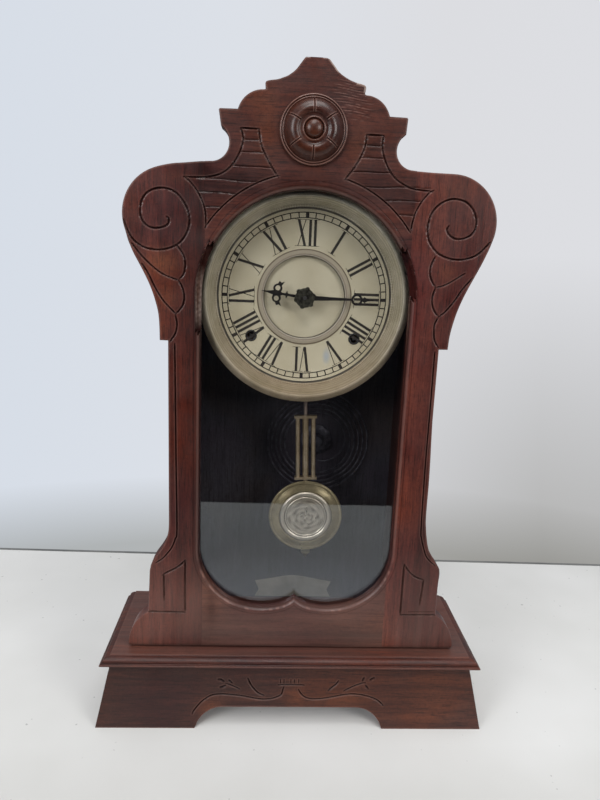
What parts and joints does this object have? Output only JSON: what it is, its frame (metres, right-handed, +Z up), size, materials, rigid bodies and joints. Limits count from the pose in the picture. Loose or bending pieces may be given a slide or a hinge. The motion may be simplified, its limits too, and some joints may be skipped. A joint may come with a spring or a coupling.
{
  "type": "shelf clock",
  "caption": "Carved wooden shelf clock with a glazed swinging door, round dial with hands, geared movement, pendulum, wire gong and a raked moulded base.",
  "frame": {"origin": "on the floor under the middle of the clock's bounding box", "axes": "+X to the viewer's right, +Y to the back, +Z up; the dial faces -Y"},
  "size_m": [0.3454, 0.1218, 0.559],
  "materials": {
    "walnut_carved": "satin varnish",
    "walnut_base": "satin varnish",
    "walnut_case": "satin varnish",
    "plain_wood": "matte",
    "window_glass": "gloss",
    "brass_plain": "satin",
    "brass_lacquered": "gloss",
    "nickel": "satin",
    "steel": "brushed",
    "spring_steel": "blued",
    "paper": "matte paper",
    "blacking": "satin",
    "gong_iron": "dark"
  },
  "bodies": {
    "case": {"case_left_side": "walnut_case", "case_right_side": "walnut_case", "case_top": "walnut_case", "backboard": "plain_wood", "case_hinge_leaves": "brass_plain", "hinge_pins": "brass_plain", "catch_spring": "brass_plain", "dial_blocks": "plain_wood", "paper_label": "paper", "base_board_top": "walnut_base", "front_apron": "walnut_base", "side_aprons": "walnut_base", "glue_blocks": "plain_wood", "dial_pan": "steel", "bezel": "nickel", "dial_paper": "paper", "centre_paper": "paper", "centre_ring": "nickel", "grommets": "blacking", "dial_screws": "brass_plain", "front_plate": "brass_plain", "back_plate": "brass_plain", "pillars": "brass_plain", "movement_screws": "steel", "mainsprings": "spring_steel", "suspension_post": "brass_plain", "gong_coil": "gong_iron", "gong_block": "gong_iron"},
    "door": {"left_stile": "walnut_carved", "right_stile": "walnut_carved", "crest_board": "walnut_carved", "bottom_rail": "walnut_base", "rosette": "walnut_carved", "door_glass": "window_glass", "glass_beads": "walnut_case", "door_hinge_leaves": "brass_plain", "catch_tongue": "brass_plain"},
    "minute_spindle": {"centre_arbor": "steel", "minute_hand": "blacking", "hand_nut": "blacking"},
    "minute_wheel": {"minute_wheel": "brass_plain"},
    "hour_pipe": {"hour_wheel": "brass_plain", "hour_hand": "blacking"},
    "time_winder": {"time_winding_arbor": "steel"},
    "strike_winder": {"strike_winding_arbor": "steel"},
    "time_great": {"time_great_wheel": "brass_plain"},
    "second": {"second_wheel": "brass_plain"},
    "centre": {"centre_wheel": "brass_plain"},
    "third": {"third_wheel": "brass_plain"},
    "escape": {"escape_wheel": "brass_plain"},
    "verge": {"verge": "steel"},
    "strike_great": {"strike_great_wheel": "brass_plain"},
    "pin": {"pin_wheel": "brass_plain"},
    "strike_third": {"strike_third_wheel": "brass_plain"},
    "fly": {"fly": "steel"},
    "pendulum": {"pendulum_rod": "steel", "gridiron": "brass_lacquered", "bob": "brass_lacquered", "rating_nut": "brass_lacquered"},
    "hammer": {"hammer": "steel"}
  },
  "joints": [
    {"name": "door_swing", "type": "hinge", "parent": "case", "child": "door", "pos_m": [0.1072, -0.0186, 0.28], "axis": [0, 0, 1], "range_deg": [0, 95]},
    {"name": "minute_hand_turn", "type": "hinge", "parent": "case", "child": "minute_spindle", "pos_m": [0, 0.02, 0.3795], "axis": [0, 1, 0], "continuous": true},
    {"name": "minute_wheel_turn", "type": "hinge", "parent": "case", "child": "minute_wheel", "pos_m": [0.009, 0.012, 0.36391], "axis": [0, 1, 0], "continuous": true},
    {"name": "hour_hand_turn", "type": "hinge", "parent": "case", "child": "hour_pipe", "pos_m": [0, 0, 0.3795], "axis": [0, 1, 0], "continuous": true},
    {"name": "time_winding", "type": "hinge", "parent": "case", "child": "time_winder", "pos_m": [0.045, 0.02, 0.345], "axis": [0, 1, 0], "continuous": true},
    {"name": "strike_winding", "type": "hinge", "parent": "case", "child": "strike_winder", "pos_m": [-0.045, 0.02, 0.345], "axis": [0, 1, 0], "continuous": true},
    {"name": "third_wheel_turn", "type": "hinge", "parent": "case", "child": "third", "pos_m": [0.02175, 0.02, 0.39596], "axis": [0, 1, 0], "continuous": true},
    {"name": "centre_wheel_turn", "type": "hinge", "parent": "case", "child": "centre", "pos_m": [0, 0.024, 0.3795], "axis": [0, 1, 0], "continuous": true},
    {"name": "second_wheel_turn", "type": "hinge", "parent": "case", "child": "second", "pos_m": [0.02691, 0.02, 0.36923], "axis": [0, 1, 0], "continuous": true},
    {"name": "time_great_turn", "type": "hinge", "parent": "case", "child": "time_great", "pos_m": [0.045, 0.018, 0.345], "axis": [0, 1, 0], "continuous": true},
    {"name": "escape_wheel_turn", "type": "hinge", "parent": "case", "child": "escape", "pos_m": [0, 0.02, 0.4102], "axis": [0, 1, 0], "continuous": true},
    {"name": "strike_third_turn", "type": "hinge", "parent": "case", "child": "strike_third", "pos_m": [-0.03695, 0.02, 0.3992], "axis": [0, 1, 0], "continuous": true},
    {"name": "pin_wheel_turn", "type": "hinge", "parent": "case", "child": "pin", "pos_m": [-0.03223, 0.02, 0.37241], "axis": [0, 1, 0], "continuous": true},
    {"name": "strike_great_turn", "type": "hinge", "parent": "case", "child": "strike_great", "pos_m": [-0.045, 0.018, 0.345], "axis": [0, 1, 0], "continuous": true},
    {"name": "fly_turn", "type": "hinge", "parent": "case", "child": "fly", "pos_m": [-0.03695, 0.02, 0.4184], "axis": [0, 1, 0], "continuous": true},
    {"name": "pendulum_swing", "type": "hinge", "parent": "case", "child": "pendulum", "pos_m": [0, 0.0075, 0.43], "axis": [0, 1, 0], "range_deg": [-1.8, 6.2]},
    {"name": "verge_swing", "type": "hinge", "parent": "case", "child": "verge", "pos_m": [0, 0.03, 0.43], "axis": [0, 1, 0], "range_deg": [-1.8, 6.2]},
    {"name": "hammer_swing", "type": "hinge", "parent": "case", "child": "hammer", "pos_m": [0.002, 0.03, 0.3415], "axis": [0, 1, 0], "range_deg": [0, 14]}
  ],
  "couplings": [
    {"joint": "minute_wheel_turn", "follows": "minute_hand_turn", "ratio": -0.33333},
    {"joint": "hour_hand_turn", "follows": "minute_hand_turn", "ratio": 0.083333},
    {"joint": "centre_wheel_turn", "follows": "third_wheel_turn", "ratio": -0.1},
    {"joint": "second_wheel_turn", "follows": "third_wheel_turn", "ratio": 0.02},
    {"joint": "time_great_turn", "follows": "third_wheel_turn", "ratio": -0.0033333},
    {"joint": "escape_wheel_turn", "follows": "third_wheel_turn", "ratio": -12},
    {"joint": "pin_wheel_turn", "follows": "strike_third_turn", "ratio": -0.13333},
    {"joint": "strike_great_turn", "follows": "strike_third_turn", "ratio": 0.022222},
    {"joint": "fly_turn", "follows": "strike_third_turn", "ratio": -7},
    {"joint": "verge_swing", "follows": "pendulum_swing", "ratio": 1}
  ]
}
